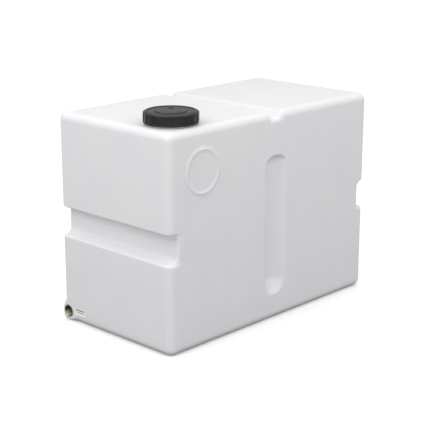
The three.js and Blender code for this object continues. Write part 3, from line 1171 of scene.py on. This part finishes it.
@dataclass
class LidSeal:
    """Flat rubber ring with softly rounded edges and a shallow groove round its top."""

    inner: float = 0.048
    round_by: float = 0.0008
    groove: float = 0.0003

    def build(self) -> bpy.types.Object:
        """Builds the seal.

        Returns:
            The seal.
        """
        low, high = box("lid_seal")
        outer, r, top, floor = (high[0] - low[0]) / 2, self.round_by, high[2], high[2] - self.groove
        middle = (outer + self.inner) / 2
        profile = rounded([
            (middle, low[2], 0), (outer, low[2], r), (outer, top, r), (middle + 0.0024, top, r),
            (middle + 0.0016, floor, r), (middle - 0.0016, floor, r), (middle - 0.0024, top, r),
            (self.inner, top, r), (self.inner, low[2], r)])
        seal = make_piece("lid_seal_ring", revolve(profile, 128).moved(*axis_of("lid_seal")), Body.SEAL,
                          ["lid_seal"])
        return dress(seal, Rubber().material())


@dataclass
class Breather:
    """Breather in the lid: a flanged plug with air slots, its screen and its umbrella valve."""

    flange: float = 0.0075
    flange_thick: float = 0.0014
    dish: float = 0.00035
    barrel: float = 0.0045
    bore: float = 0.003
    air_hole: float = 0.0011
    end_thick: float = 0.0012
    stem_hole: float = 0.0012
    stem: float = 0.0009
    bulb: float = 0.0016
    finish: MouldedBlack = MouldedBlack("breather_plastic", (0.006, 0.006, 0.006),
                                        (0.014, 0.014, 0.013), (0.55, 0.7), 0.3, 0.03, 1.33)

    def _plug(self, low: Array, high: Array) -> Surface:
        """The plug: flange, barrel, and the stepped hole through it.

        Args:
            low, high: corners of its box.

        Returns:
            Its surface, about +Z.
        """
        foot, top = low[2], high[2]
        ledge, end = top - self.flange_thick, foot + self.end_thick
        return revolve(rounded([
            (self.barrel, foot, 0.0004), (self.barrel, ledge, 0.0003),
            (self.flange, ledge, 0.0002), (self.flange, top - 0.0001, 0.0004),
            (self.flange * 0.62, top, 0.0003), (self.flange * 0.58, top - self.dish, 0.0002),
            (0.0026, top - self.dish, 0.0004), (self.air_hole + 0.0004, top - 0.0008, 0.0003),
            (self.air_hole, ledge + 0.0002, 0), (self.bore, ledge, 0), (self.bore, end, 0),
            (self.stem_hole, end, 0), (self.stem_hole, foot, 0)], steps=3), 72)

    def _umbrella(self, low: Array, high: Array) -> Surface:
        """The valve: a dished disc, a stem and its bulb.

        Args:
            low, high: corners of its box.

        Returns:
            Its surface, about +Z.
        """
        foot, top, disc, stem = low[2], high[2], (high[0] - low[0]) / 2, self.stem
        seat, held = foot + 0.0008, top - 0.0014
        return revolve(rounded([
            (0.0, foot, 0), (disc * 0.5, foot + 0.0001, 0.0005), (disc, seat - 0.0004, 0.0003),
            (disc, seat, 0.0001), (disc - 0.0008, seat - 0.0002, 0.0003),
            (stem, seat - 0.0003, 0.0003), (stem, held, 0.0002), (self.bulb, held, 0.0004),
            (self.bulb, held + 0.0006, 0.0004), (stem * 0.6, top, 0.0004), (0.0, top, 0)]), 64)

    def build(self) -> list[bpy.types.Object]:
        """Builds the plug and the valve, and dresses the screen.

        Returns:
            The three pieces.
        """
        x, y = axis_of("vent_plug")
        plug = make_piece("breather_plug", self._plug(*box("vent_plug")).moved(x, y), Body.LID,
                          ["vent_plug"])
        valve = make_piece("breather_valve", self._umbrella(*box("vent_valve")).moved(x, y),
                           Body.LID, ["vent_valve"])
        return [dress(plug, self.finish.material()), dress(valve, Rubber().material()),
                dress(frame["nodes"]["vent_screen"], WovenSteel().material())]


# Studio

@dataclass
class Studio:
    """White floor, white surroundings, soft lights from above and two sides, and the camera."""

    floor_size: float = 60.0
    floor_drop: float = 0.0004
    floor_tone: float = 0.98
    floor_bounce: float = 0.38
    floor_glow: float = 0.08
    sky: float = 0.56
    key: float = 1.04
    end_fill: float = 0.74
    side_fill: float = 0.5
    end_strip: float = 3.3
    side_strip: float = 3.0
    strip_height: float = 0.4
    strip_tilt: float = 52.0
    eye: Triple = (-2.0621, -1.9498, 1.0368)
    pitch: float = 15.826
    heading: float = 46.275
    lens: float = 100.79
    sensor: float = 36.0

    def _floor(self) -> None:
        """Lays the floor just under the base. It bounces less light than the camera sees on it."""
        corners = np.array([[-1, -1, 0], [1, -1, 0], [1, 1, 0], [-1, 1, 0]]) * self.floor_size / 2
        plane = Surface(corners, np.array([[0, 1, 2, 3]])).moved(0.0, 0.0, -self.floor_drop)
        floor = make_piece("studio_floor", plane, None)
        pad = Pad(bpy.data.materials.new("studio_floor"), "ShaderNodeOutputMaterial")
        bounced, lit = (pad.node("ShaderNodeBsdfDiffuse", inputs={"Color": (tone,) * 3})
                        for tone in (self.floor_bounce, self.floor_tone))
        glow = pad.node("ShaderNodeEmission", inputs={"Strength": self.floor_glow})
        shown = pad.node("ShaderNodeAddShader", inputs={0: lit, 1: glow})
        pad.show_to_camera(bounced, shown)
        dress(floor, pad.owner)

    def _surroundings(self) -> None:
        """White behind everything, and a softer white as light."""
        world = bpy.data.worlds.new("studio")
        bpy.context.scene.world = world
        pad = Pad(world, "ShaderNodeOutputWorld")
        lit, seen = (pad.node("ShaderNodeBackground", inputs={"Color": (1.0,) * 3, "Strength": power})
                     for power in (self.sky, 1.0))
        pad.show_to_camera(lit, seen)

    def _hang(self, data: bpy.types.Light | bpy.types.Camera, tilt: float, turn: float,
              place: Triple = (0.0, 0.0, 0.0)) -> bpy.types.Object:
        """Puts a light or a camera into the scene.

        Args:
            data: the light or the camera.
            tilt: degrees that it looks up from straight down.
            turn: degrees that it is then turned about +Z.
            place: where it is.

        Returns:
            Its object.
        """
        held = bpy.data.objects.new(data.name, data)
        held.location = place
        held.rotation_euler = (math.radians(tilt), 0.0, math.radians(turn))
        bpy.context.scene.collection.objects.link(held)
        return held

    def _sun(self, name: str, strength: float, spread: float, tilt: float, turn: float) -> None:
        """Adds a broad distant light."""
        light = bpy.data.lights.new(name, "SUN")
        light.energy, light.angle = strength, math.radians(spread)
        self._hang(light, tilt, turn)

    def _strip(self, name: str, power: float, length: float, place: Triple, turn: float) -> None:
        """Adds a long soft box that lights one wall from above, unseen by the camera."""
        light = bpy.data.lights.new(name, "AREA")
        light.energy, light.shape = power, "RECTANGLE"
        light.size, light.size_y = length, self.strip_height
        self._hang(light, self.strip_tilt, turn, place).visible_camera = False

    def _camera(self) -> None:
        """Sets the camera, with no shift and no depth of field."""
        camera = bpy.data.cameras.new("camera")
        camera.lens, camera.sensor_width = self.lens, self.sensor
        bpy.context.scene.camera = self._hang(camera, 90.0 - self.pitch, -self.heading, self.eye)

    def build(self) -> None:
        """Builds the studio."""
        bpy.context.scene.view_settings.view_transform = "Standard"
        self._surroundings()
        self._sun("overhead", self.key, 70.0, 14.0, 140.0)
        self._sun("end_fill", self.end_fill, 80.0, 74.0, -80.0)
        self._sun("side_fill", self.side_fill, 80.0, 74.0, -8.0)
        self._strip("end_softbox", self.end_strip, 1.3, (-1.15, 0.0, 1.12), -90.0)
        self._strip("side_softbox", self.side_strip, 1.9, (0.05, -0.98, 1.12), 0.0)
        self._floor()
        self._camera()


def main() -> None:
    """Builds the studio and each sub-assembly, in order, and reports each piece."""
    logging.basicConfig(level=logging.INFO, format="%(name)s %(message)s")
    Studio().build()
    insert, sticker, shell = OutletInsert(), Sticker(), TankShell()
    pieces = [shell.build(insert, sticker), insert.build(shell), sticker.build(),
              ScrewLid().build(), LidSeal().build(), *Breather().build()]
    for piece in pieces:
        LOG.info("%s: %d faces", piece.name, len(piece.data.polygons))


if __name__ == "__main__":
    main()
